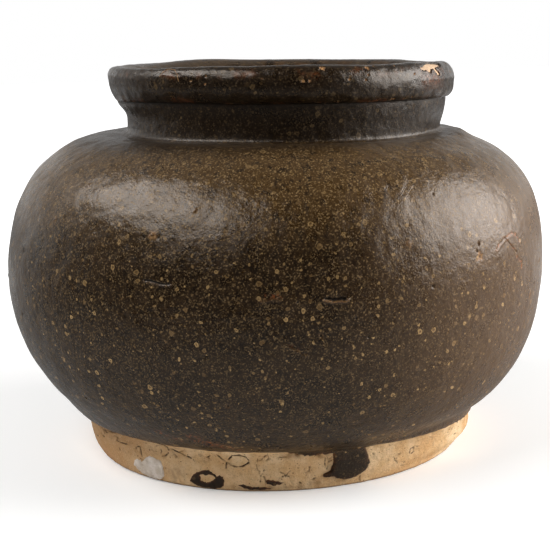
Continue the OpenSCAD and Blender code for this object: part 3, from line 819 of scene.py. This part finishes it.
# Glaze coat: its hem, the thick run over the foot, and the flaws in its skin
coat = {
    "steps": 480, "crowding": 0.45, "rowStep": 2.0, "hemStep": 0.5,
    "hem": [(-180, -3.4), (-150, -2.6), (-120, -3.0), (-95, -2.2), (-75, -2.2), (-57, -2.5), (-48, -2.2), (-41, -2.3), (-34, -2.5),
            (-27, -2.2), (-21, -2.4), (-15, -2.9), (-9.5, -2.3), (-4, -1.5), (2.2, -1.8), (6.3, -4.6), (9, -6.4), (12.3, -6.4),
            (14.8, -5.6), (22.8, -3.0), (26.8, -1.2), (33.5, -1.0), (40, -0.9), (50, -1.2), (60, -2.0), (72, -2.6), (100, -3.6),
            (130, -2.5), (155, -3.3), (180, -3.4)],
    "run": [(13, 4), (15.0, -2), (15.4, -4.8), (15.5, -8.1), (15.6, -10.6), (15.2, -13.2), (14.6, -15.7), (13.2, -16.7),
            (12.3, -17.7), (12.5, -19.0), (14.0, -19.1), (15.4, -19.1), (16.2, -20.3), (18.2, -21.3), (20.4, -21.3),
            (22.6, -20.0), (24.6, -18.3), (25.8, -16.0), (26.4, -13.8), (25.9, -9.8), (24.8, -4.6), (23.2, 0), (22.2, 4)],
    "runSwell": 0.55,
}

# Each groove: its line, half width, depth, how dark, how red, raised lower lip
flaws = {
    "grooves": [
        ([(8.7, 90.8), (10.4, 90.2), (12.2, 90.5)], 0.55, 0.75, 1.3, 0.0, 0.8),
        ([(-24.3, 97.4), (-22.9, 97.3), (-21.9, 96.7), (-20.6, 96.2), (-19.4, 96.4)], 0.34, 0.45, 1.2, 0.0, 0.25),
        ([(-2.4, 91.6), (-0.8, 92.4), (0.4, 92.1)], 0.7, 0.12, 0.0, 0.45, 0.2),
        ([(49.6, 108.6), (50.6, 106.4), (52.1, 103.4), (53.6, 100.6)], 0.35, 0.4, 0.5, 0.9, 0.0),
        ([(46.4, 104.2), (47.6, 106.2), (49.6, 108.4), (52.6, 109.6), (54.6, 108.2), (55.2, 105)], 0.5, 0.18, 0.0, 1.0, 0.1),
        ([(53.6, 98.6), (55.4, 96), (55.9, 92.6)], 0.5, 0.12, 0.0, 0.8, 0.0),
        ([(24.6, 134.2), (26.4, 138.4)], 0.16, 0.08, 0.0, 0.0, 0.1), ([(26.2, 134.6), (28.2, 138.9)], 0.16, 0.08, 0.0, 0.0, 0.1),
        ([(21.6, 137.2), (22.4, 139.6)], 0.16, 0.08, 0.0, 0.0, 0.1), ([(24.7, 142.2), (29, 141.9), (33.3, 140.8)], 0.16, 0.06, 0.0, 0.0, 0.1),
        ([(2.5, 71.1), (5.2, 66.4)], 0.5, 0.12, 0.0, 0.1, 0.15), ([(-19.5, 15.5), (-16.5, 11.5), (-13, 8.2)], 1.5, 0.10, 0.0, 1.0, 0.0),
        ([(-27.5, 16), (-23, 10.5)], 1.0, 0.06, 0.0, 0.8, 0.0), ([(-12, 7), (-9, 5)], 1.3, 0.05, 0.0, 0.7, 0.0)],
    # Pits and pimples: azimuth, length along, radius, height, how dark, how orange
    "spots": [(29.4, 92.6, 0.6, -0.5, 1.0, 0.0), (41.2, 108.1, 0.7, -0.5, 0.8, 0.2), (41.2, 102.4, 1.1, -0.4, 0.3, 1.0),
              (3.7, 89.5, 0.5, -0.4, 1.0, 0.0), (8.0, 74.5, 0.8, -0.5, 1.0, 0.2), (-12.5, 65, 0.7, -0.5, 1.0, 0.0),
              (14.3, 81.5, 0.45, -0.4, 1.0, 0.0), (16.8, 72.5, 0.45, -0.4, 0.9, 0.0), (11.2, 28, 0.5, -0.4, 1.0, 0.0),
              (-45.2, 31, 0.6, -0.4, 0.9, 0.0), (-9.2, 40, 0.7, -0.4, 0.7, 0.3), (40.5, 104.9, 0.5, -0.4, 1.0, 0.0),
              (-23.9, 116.9, 1.2, 0.9, 0.0, 0.75), (-22.6, 116.2, 0.8, -0.3, 0.9, 0.0), (-16.2, 128.6, 0.7, 0.4, 0.0, 0.35),
              (-4.2, 132, 0.5, 0.3, 0.0, 0.2), (32.5, 133.4, 0.5, -0.3, 0.8, 0.0), (-44, 137, 0.8, 0.3, 0.0, 0.2),
              (-41, 135, 0.8, 0.25, 0.0, 0.0), (24.6, 112, 1.0, 0.2, 0.0, 0.45), (-50, 119, 0.9, 0.25, 0.0, 0.25)],
    "farSpots": 60, "ledge": (-30.6, 141.0, 0.4), "seed": 17,
}


def farSpots():
    # Pits and pimples on the sides and back, of the same kinds as those in front
    rng = np.random.default_rng(flaws["seed"])
    return [(float(a if a < 180 else a - 360), float(b), float(c), float(h), 0.9 if h < 0 else 0.0, float(o)) for a, b, c, h, o in zip(
        rng.uniform(60, 300, flaws["farSpots"]), rng.uniform(10, 140, flaws["farSpots"]), rng.uniform(0.5, 1.0, flaws["farSpots"]),
        rng.choice([-0.4, -0.4, 0.35], flaws["farSpots"]), rng.choice([0.0, 0.0, 0.5], flaws["farSpots"]))]


allSpots = flaws["spots"] + farSpots()


def frontAzimuths(steps, crowding):
    u = np.linspace(-math.pi, math.pi, steps + 1)
    return np.degrees(u - crowding * np.sin(u))


def insideOutline(az, s, corners, radius=98.0):
    # Distance in millimetres inside a closed outline of azimuths and lengths along, negative outside
    scale = math.radians(1) * radius
    outline = np.array([(a * scale, b) for a, b in corners])
    x, y = az * scale, s
    best = np.full(len(az), 1e9)
    inside = np.zeros(len(az), bool)
    for (x0, y0), (x1, y1) in zip(outline, np.roll(outline, -1, 0)):
        t = np.clip(((x - x0) * (x1 - x0) + (y - y0) * (y1 - y0)) / ((x1 - x0) ** 2 + (y1 - y0) ** 2), 0, 1)
        best = np.minimum(best, np.hypot(x - x0 - t * (x1 - x0), y - y0 - t * (y1 - y0)))
        if y0 != y1:
            crosses = (y > min(y0, y1)) & (y <= max(y0, y1))
            inside ^= crosses & (x < x0 + (y - y0) * (x1 - x0) / (y1 - y0))
    return np.where(inside, best, -best)


hemAzimuth, hemRun = np.array(coat["hem"]).T


def softUnion(a, b, width=1.2):
    h = np.clip(0.5 + 0.5 * (a - b) / width, 0, 1)
    return b * (1 - h) + a * h + width * h * (1 - h)


def coatOutline(az, s):
    line = np.interp(az, hemAzimuth, hemRun) + 0.35 * waves(az, np.zeros(len(az)), 2.6, 11)
    line += 0.7 * smoothStep(az, 0, 4) * smoothStep(-az, -15, -12) * waves(az, np.zeros(len(az)), 0.8, 12)
    value = s - line
    near = (np.abs(az - 19) < 12) & (s < 8)
    if near.any():
        ragged = 0.16 * waves(az[near], s[near], 0.8, 13)
        value[near] = softUnion(value[near], insideOutline(az[near], s[near], coat["run"]) + ragged, 0.8)
    return value


def girth(s):
    return np.interp(s, clayPath["s"], clayPath["r"])


def flawField(az, s):
    # Height of the flaws, and how dark, how red and how bare the glaze is at them
    # How dark a flaw is: painted shade in the hollows of the grooves and pits
    lift, shadeAndDarkGlaze, wear, bite = np.zeros((4, len(az)))
    for line, wide, depth, dark, red, lip in flaws["grooves"]:
        at = np.array(line)
        near = np.where((np.abs(az - at[:, 0].mean()) < np.ptp(at[:, 0]) / 2 + 3) & (np.abs(s - at[:, 1].mean()) < np.ptp(at[:, 1]) / 2 + 4))[0]
        if not len(near):
            continue
        scale = float(girth(s[near]).mean()) / 98.0
        far = nearLine((az[near] - at[:, 0].mean()) * scale, s[near], [((a - at[:, 0].mean()) * scale, b) for a, b in line])
        far = far + 0.35 * wide * waves(az[near], s[near], 1.2, 70)
        fade = np.exp(-(np.clip(far, 0, None) / wide) ** 2)
        lift[near] -= depth * fade
        below = np.interp(az[near], *np.array(sorted(line)).T) - s[near]
        lift[near] += lip * np.exp(-((far - 2.0 * wide) / wide) ** 2) * (below > 0)
        shadeAndDarkGlaze[near] = np.maximum(shadeAndDarkGlaze[near], dark * smoothStep(fade, 0.35, 0.8))
        wear[near] = np.maximum(wear[near], 1.5 * red * np.exp(-(np.clip(far, 0, None) / (1.5 * wide)) ** 2) * smoothStep(waves(az[near], s[near], 1.1, 73), -0.25, 0.5))
        bite[near] = np.maximum(bite[near], 0.4 * lip * np.exp(-((far - 2.0 * wide) / wide) ** 2) * (below > 0))
    for a, b, radius, high, dark, orange in allSpots:
        near = np.where((np.abs(az - a) < 3) & (np.abs(s - b) < 4))[0]
        if not len(near):
            continue
        far = np.hypot((az[near] - a) * math.radians(1) * girth(b), s[near] - b)
        far = far * (1 + 0.25 * waves(az[near], s[near], 0.9, 71))
        lift[near] += (high if high > 0 else 1.6 * high) * np.exp(-(far / radius) ** 2)
        shadeAndDarkGlaze[near] = np.maximum(shadeAndDarkGlaze[near], dark * smoothStep(-far, -0.9 * radius, -0.35 * radius))
        bite[near] = np.maximum(bite[near], 0.6 * orange * np.exp(-((far - radius) / (0.6 * radius)) ** 2))
    return lift, shadeAndDarkGlaze, np.clip(wear, 0, 1), bite


def coatLift(az, s, value):
    bead = jar["hemBead"] * np.exp(-np.clip(value, 0, None) / 9) * (s > -40)
    swell = coat["runSwell"] * np.exp(-((az - 19) / 5.8) ** 4) * smoothStep(-s, -3, 6)
    a, b, step = flaws["ledge"]
    ledge = step * smoothStep(az, a - 0.5, a + 0.4) * smoothStep(-az, 12, 20) * (smoothStep(s, b - 2.4, b + 0.6) * smoothStep(-s, -b - 9, -b - 3))
    facets = 0.11 * waves(az, s, 9, 5) + 0.05 * waves(az, s, 4.0, 6) * smoothStep(s, 90, 120)
    return np.maximum(jar["glazeT"] + bead + swell + ledge + facets * smoothStep(s, -2, 10) + flawField(az, s)[0], 0.05)


def coatWear(az, s, value):
    hem = 0.9 * np.exp(-np.clip(value, 0, None) / 0.7) + 0.45 * np.exp(-np.clip(value, 0, None) / 3.0) * smoothStep(waves(az, s, 6, 51), 0.0, 0.8)
    return np.clip(hem * (s > -40) + flawField(az, s)[2], 0, 1)


# Painted shade in the pits and grooves, and the darker thick glaze of the run over the foot
def coatShadeAndDarkGlaze(az, s, value):
    return np.maximum(flawField(az, s)[1], 0.4 * smoothStep(-s, 3, 9))


def aroundFlaws(reach, known=allSpots):
    spots = [(a, b, r * 1.5) for a, b, r, *rest in known]

    def wanted(az, s):
        out = np.zeros(len(az), bool)
        for a, b, r in spots:
            near = (np.abs(az - a) < 3) & (np.abs(s - b) < r + reach)
            out[near] |= np.hypot((az[near] - a) * math.radians(1) * girth(b), s[near] - b) < r + reach
        for line, wide, *rest in flaws["grooves"]:
            at = np.array(line)
            near = np.where((np.abs(az - at[:, 0].mean()) < np.ptp(at[:, 0]) / 2 + 3) & (np.abs(s - at[:, 1].mean()) < np.ptp(at[:, 1]) / 2 + 4))[0]
            scale = girth(at[:, 1].mean()) / 98.0
            out[near] |= nearLine((az[near] - at[:, 0].mean()) * scale, s[near], [((a - at[:, 0].mean()) * scale, b) for a, b in line]) < 3 * wide + reach
        return out
    return wanted


seamRun = marks["shoulder"] - 5.0
azimuths = frontAzimuths(coat["steps"], coat["crowding"])
rows = np.concatenate([np.arange(-25.4, 4.0, coat["hemStep"]), np.linspace(4.0, seamRun - 2, int((seamRun - 6) / coat["rowStep"])),
                       [seamRun - 1.2, seamRun - 0.6, seamRun]])
glazeCoat = skin("glazeCoat", azimuths, rows, coatLift, coatOutline, {
    "wear": coatWear, "shadeAndDarkGlaze": coatShadeAndDarkGlaze, "bite": lambda az, s, value: flawField(az, s)[3]},
    (aroundFlaws(0.6), aroundFlaws(0.2, flaws["spots"]), aroundFlaws(0.0, flaws["spots"])), coarseFrom=4.0)
finishPiece(glazeCoat, brownGlaze, "brown_glaze", "outer_glaze", "glaze_run")

# Rolled rim: chip, worn edge and small bites in the glaze
rimLook = {
    "chip": [(50.3, 218.8), (51.2, 219.4), (52.7, 219.6), (54, 220.6), (55.6, 221.3), (57.5, 222.6), (60.4, 223.4), (63.3, 222.8),
             (66, 221.2), (65.3, 219.9), (63, 219.5), (60.6, 219.2), (59.6, 218.8), (60, 218.1), (61, 217.1), (61.6, 215.9),
             (60.1, 215.4), (59.3, 216.5), (58.7, 217.5), (58, 218.6), (56.7, 218.5), (55.3, 216.7), (54.2, 217.2), (53.4, 218.2),
             (51.9, 217.9), (50.6, 218.2)],
    "bites": [(-43.8, 221.4, 0.5), (-37, 221.3, 0.6), (13.3, 220.1, 0.9), (28.1, 220.4, 0.9), (21, 215.3, 0.5), (26.2, 214.9, 0.5),
              (27.3, 217, 0.5), (46, 216.5, 0.6), (6.7, 214.6, 0.7), (8.6, 214.6, 0.6), (-21.9, 217.4, 0.45), (-22.6, 213.9, 0.4),
              (-27.2, 215.2, 0.4), (36.4, 205.3, 0.8), (17, 204.7, 0.4), (12.9, 204, 0.4), (28.1, 204.6, 0.5), (41.5, 205.8, 0.4),
              (45, 206, 0.3), (-5, 216, 0.4), (31, 221.5, 0.4), (39, 221, 0.35)],
    "hairs": [[(-38.9, 217.5), (-37.9, 219.8), (-35.8, 221.2), (-33.2, 220.5), (-31.9, 218.2), (-31.6, 215.2)]],
    "farBites": 26, "edgeRun": 218.0, "ridgeRun": 184.4, "edgeStep": 0.5, "seed": 23,
}


def rimBites():
    rng = np.random.default_rng(rimLook["seed"])
    count = rimLook["farBites"]
    return rimLook["bites"] + [(float(a if a < 180 else a - 360), float(b), float(r)) for a, b, r in zip(
        rng.uniform(70, 300, count), rng.uniform(213, 223, count), rng.uniform(0.3, 0.8, count))]


allBites = rimBites()


def rimOutline(az, s):
    value = np.full(len(az), 50.0)
    near = (np.abs(az - 58) < 12) & (s > 210)
    if near.any():
        ragged = 0.15 * waves(az[near], s[near], 0.7, 14)
        value[near] = np.minimum(50, -insideOutline(az[near], s[near], rimLook["chip"], 85.0) + ragged)
    return value


def rimLift(az, s, value):
    line = rimLook["edgeRun"] + 0.8 * waves(az, np.zeros(len(az)), 5, 15)
    lift = jar["glazeT"] - 0.12 * np.exp(-((s - line - 0.8) / 0.8) ** 2) + 0.10 * np.exp(-((s - line + 0.8) / 0.9) ** 2)
    lift += 0.10 * waves(az, s, 8, 16) * smoothStep(s, 196, 206) + 0.05 * waves(az, s, 3, 17)
    lift += 0.35 * np.exp(-((s - 207.5) / 2.2) ** 2) * waves(az, np.zeros(len(az)), 7, 18)
    lift += 0.32 * np.exp(-((s - rimLook["ridgeRun"] - 0.3 * waves(az, np.zeros(len(az)), 14, 27)) / 0.75) ** 2)
    return lift - 0.5 * biteField(az, s)


def biteField(az, s):
    out = np.zeros(len(az))
    for a, b, radius in allBites:
        near = np.where((np.abs(az - a) < 3) & (np.abs(s - b) < 3))[0]
        far = np.hypot((az[near] - a) * math.radians(1) * 86 / 1.3, s[near] - b) * (1 + 0.3 * waves(az[near], s[near], 0.7, 72))
        out[near] = np.maximum(out[near], smoothStep(-far, -1.0 * radius, -0.5 * radius))
    return out


def rimBare(az, s, value):
    out = biteField(az, s)
    for line in rimLook["hairs"]:
        near = np.where((np.abs(az + 36) < 6) & (np.abs(s - 218) < 6))[0]
        out[near] = np.maximum(out[near], 0.6 * smoothStep(-nearLine(az[near], s[near], line), -0.3, -0.05))
    return out


def rimWear(az, s, value):
    line = rimLook["edgeRun"] + 0.8 * waves(az, np.zeros(len(az)), 5, 15)
    edge = 0.3 * np.exp(-((s - line) / 1.6) ** 2) * smoothStep(waves(az, s, 6, 52), 0.0, 0.8)
    crease = 0.4 * np.exp(-((s - 204) / 1.8) ** 2) * smoothStep(waves(az, s, 5, 53), 0.0, 0.7)
    patch = 0.6 * np.exp(-((az + 34) / 3.4) ** 2 - ((s - 204.8) / 2.2) ** 2)
    return np.clip(edge + crease + patch + 0.4 * np.exp(-((az - 56) / 7.0) ** 4 - ((s - 214) / 4) ** 2), 0, 1)


rimRows = np.concatenate([[seamRun, seamRun + 0.6, seamRun + 1.2], np.linspace(seamRun + 1.8, 200, 27), np.linspace(200.9, 224, 30),
                          np.linspace(225, marks["bore"], 6)])
glazeRim = skin("glazeRim", azimuths, rimRows, rimLift, rimOutline, {
    # pale marks the inside of the mouth for a painted highlight
    "wear": rimWear, "bite": rimBare, "pale": lambda az, s, value: smoothStep(s, 226, 230),
    # Painted shade: a near-black band along the crease under the rolled rim, fading out past 45 degrees to the right
    "shadeAndDarkGlaze": lambda az, s, value: 0.75 * np.exp(-((s - 202.5) / 1.2) ** 2) * smoothStep(-az, -60, -45)},
    (lambda az, s: (np.abs(az - 58) < 9.5) & (s > 213.5) & (s < 224.5), lambda az, s: (np.abs(az - 58) < 9) & (s > 214) & (s < 224),
     lambda az, s: (np.abs(az - 58) < 8.6) & (s > 214.5) & (s < 223.8),
     lambda az, s: (np.abs(az + 35.5) < 4.5) & (np.abs(s - 218.5) < 4), lambda az, s: (np.abs(az + 35.5) < 4.2) & (np.abs(s - 218.5) < 3.8),
     lambda az, s: (np.abs(az) < 60) & (biteField(az, s) > 0)))
finishPiece(glazeRim, brownGlaze, "brown_glaze", "outer_glaze")
print("glaze made")

# Deposits on the foot: the ring-shaped spot, two thin marks and the patch of kiln wash
drops = {
    "ring": [(-25.8, -20.6), (-25.1, -18.7), (-23.5, -16.7), (-21.7, -15.7), (-20, -14.9), (-18.7, -15.9), (-18, -17.1),
             (-17.6, -17.9), (-16.7, -17.1), (-15.7, -17.9), (-15.4, -20.2), (-15.8, -22.5), (-16.4, -23.6), (-19.1, -24.4),
             (-22.6, -24.2), (-25.1, -22.8), (-26.2, -21.6)],
    "hole": [(-22.6, -19.5), (-22.6, -18.2), (-21.6, -17.6), (-20.8, -18.1), (-19.7, -17.5), (-18.6, -17.8), (-18.2, -18.8),
             (-18.8, -20.2), (-19.9, -20.8), (-20.8, -21.4), (-21.6, -20.7), (-22.4, -20.6)],
    "marks": [[(-11.5, -21.7), (-10, -21.2), (-8.5, -22.2), (-6.2, -22.6), (-4.4, -22.4), (-2.2, -23.3), (-4.4, -24.0),
               (-8.1, -23.9), (-10.1, -23.3)],
              [(-3.9, -19.7), (-3, -18.9), (-1.5, -19.3), (1.3, -20.5), (0, -21.6), (-2.1, -21.7), (-3.4, -21)]],
    "patch": [(-46.1, -17.4), (-46.6, -19.3), (-45.7, -20.9), (-44.7, -22.4), (-42.8, -23.4), (-40.2, -24.0), (-37.7, -24.0),
              (-36.3, -23.5), (-35.2, -22.2), (-34.6, -19.3), (-34.6, -17.2), (-34.8, -15.1), (-35.1, -13.4), (-37.2, -13.6),
              (-37.8, -12.9), (-39.2, -13.0), (-40.8, -13.9), (-41.6, -15.5), (-42.7, -16.5), (-43.8, -16.2), (-44.7, -15.7)],
    "lift": 0.42, "patchLift": 0.5, "step": 0.13,
}


def dropOutline(az, s):
    ring = np.minimum(insideOutline(az, s, drops["ring"]), -insideOutline(az, s, drops["hole"]))
    out = np.maximum(ring, np.maximum(*[insideOutline(az, s, m) for m in drops["marks"]]))
    return out + 0.16 * waves(az, s, 0.8, 19)


def patchOutline(az, s):
    return insideOutline(az, s, drops["patch"]) + 0.22 * waves(az, s, 0.9, 20)


glazeDrops = skin("glazeDrops", np.arange(-27.2, 2.6, drops["step"]), np.arange(-25.6, -14, 0.22),
                  lambda az, s, value: drops["lift"] * (1 + 0.25 * waves(az, s, 1.6, 24)), dropOutline,
                  {"wear": lambda az, s, value: 0.8 * np.exp(-value / 0.35)}, edgeWidth=0.9)
finishPiece(glazeDrops, thickGlaze, "thick_glaze", "glaze_spots")
kilnPatch = skin("kilnPatch", np.arange(-48, -33, drops["step"]), np.arange(-25.4, -12, 0.22),
                 lambda az, s, value: drops["patchLift"] + 0.14 * waves(az, s, 1.3, 25) + 0.08 * waves(az, s, 0.6, 26),
                 patchOutline, edgeWidth=0.7)
finishPiece(kilnPatch, kilnWash, "kiln_wash", "kiln_patch")
print("deposits made")

camera = bpy.data.objects.new("camera", bpy.data.cameras.new("camera"))
bpy.context.scene.collection.objects.link(camera)
camera.location = (-0.00007, -0.67004, 0.21210)
camera.rotation_euler = Euler([math.radians(a) for a in (79.3348, 1.9120, -0.2652)])
camera.data.lens = 1276 / 550 * 36
camera.data.sensor_width = 36
camera.data.clip_start = 0.01
bpy.context.scene.camera = camera

studio = {
    "floorColour": (0.9, 0.895, 0.885), "floorSize": 12.0, "floorGlow": (0.20, 1.1), "floorSheen": (0.06, 0.40, 0.8),
    "lights": [
        ("rightPanel", 85, 22, 1.0, 0.9, 0.7, 14.5), ("leftPanel", -64, 46, 1.0, 1.2, 0.36, 10.0)],
    "frontLight": 0.02, "sideLight": 0.88, "topLight": 0.3,
}


def addFloor():
    # The camera sees a bright white sweep; the glaze mirrors a table that ends in the dark at the front
    side = studio["floorSize"] / 2
    made = newMesh("floor", np.array([(-side, -side, 0), (side, -side, 0), (side, side, 0), (-side, side, 0)]),
                   [[0, 1, 2, 3]])
    paint = bpy.data.materials.new("paleFloor")
    paint.use_nodes = True
    tree = paint.node_tree
    shader = tree.nodes["Principled BSDF"]
    rays = addNode(tree, "ShaderNodeLightPath")
    spot = addNode(tree, "ShaderNodeSeparateXYZ", {0: addNode(tree, "ShaderNodeTexCoord").outputs["Object"]})
    far = addNode(tree, "ShaderNodeVectorMath", {0: addNode(tree, "ShaderNodeTexCoord").outputs["Object"]},
                  operation="LENGTH").outputs["Value"]
    dark, close, behind = studio["floorSheen"]
    mirrored = times(tree, spread(tree, far, 0.7, 0.28, dark, close), spread(tree, spot.outputs["Y"], -0.45, -0.05, 0.5, 1.0))
    mirrored = maths(tree, "MAXIMUM", mirrored, spread(tree, spot.outputs["Y"], 0.0, 0.5, 0.0, behind))
    dim = addNode(tree, "ShaderNodeCombineColor", {0: mirrored, 1: mirrored, 2: mirrored}).outputs[0]
    tree.links.new(mixed(tree, rays.outputs["Is Glossy Ray"], studio["floorColour"], dim), shader.inputs["Base Color"])
    shader.inputs["Roughness"].default_value = 0.7
    shader.inputs["Emission Color"].default_value = (1, 1, 1, 1)
    white = spread(tree, far, 0.14, 0.9, *studio["floorGlow"])
    tree.links.new(times(tree, rays.outputs["Is Camera Ray"], white), shader.inputs["Emission Strength"])
    made.data.materials.append(paint)


def addPanel(name, azimuth, height, distance, width, tall, power):
    lamp = bpy.data.objects.new(name, bpy.data.lights.new(name, "AREA"))
    bpy.context.scene.collection.objects.link(lamp)
    lamp.data.shape = "RECTANGLE"
    lamp.data.size, lamp.data.size_y, lamp.data.energy = width, tall, power
    a, e = math.radians(azimuth), math.radians(height)
    lamp.location = (distance * math.sin(a) * math.cos(e), -distance * math.cos(a) * math.cos(e),
                     distance * math.sin(e) + 0.1)
    aim = np.array((0, 0, 0.1)) - np.array(lamp.location)
    lamp.rotation_euler = Euler((math.acos(-aim[2] / np.linalg.norm(aim)), 0, math.atan2(aim[0], -aim[1]) + math.pi))
    return lamp


addFloor()
for panel in studio["lights"]:
    addPanel(*panel)

world = bpy.data.worlds.new("studioAir")
bpy.context.scene.world = world
world.use_nodes = True
air = world.node_tree
air.nodes.clear()
spot = addNode(air, "ShaderNodeSeparateXYZ", {0: addNode(air, "ShaderNodeTexCoord").outputs["Generated"]})
back = addNode(air, "ShaderNodeMapRange", {"Value": spot.outputs["Y"], "From Min": -0.3, "From Max": 0.5,
                                           "To Min": studio["frontLight"], "To Max": studio["sideLight"]},
               interpolation_type="SMOOTHSTEP").outputs["Result"]
top = spread(air, spot.outputs["Z"], 0.08, 0.6, 1.0, studio["topLight"])
seen = addNode(air, "ShaderNodeLightPath").outputs["Is Camera Ray"]
level = maths(air, "MAXIMUM", maths(air, "MULTIPLY", back, top), seen)
glow = addNode(air, "ShaderNodeBackground", {"Color": (1, 1, 1, 1), "Strength": level})
addNode(air, "ShaderNodeOutputWorld", {"Surface": glow.outputs[0]})
bpy.context.scene.view_settings.view_transform = "Standard"
print("studio ready")
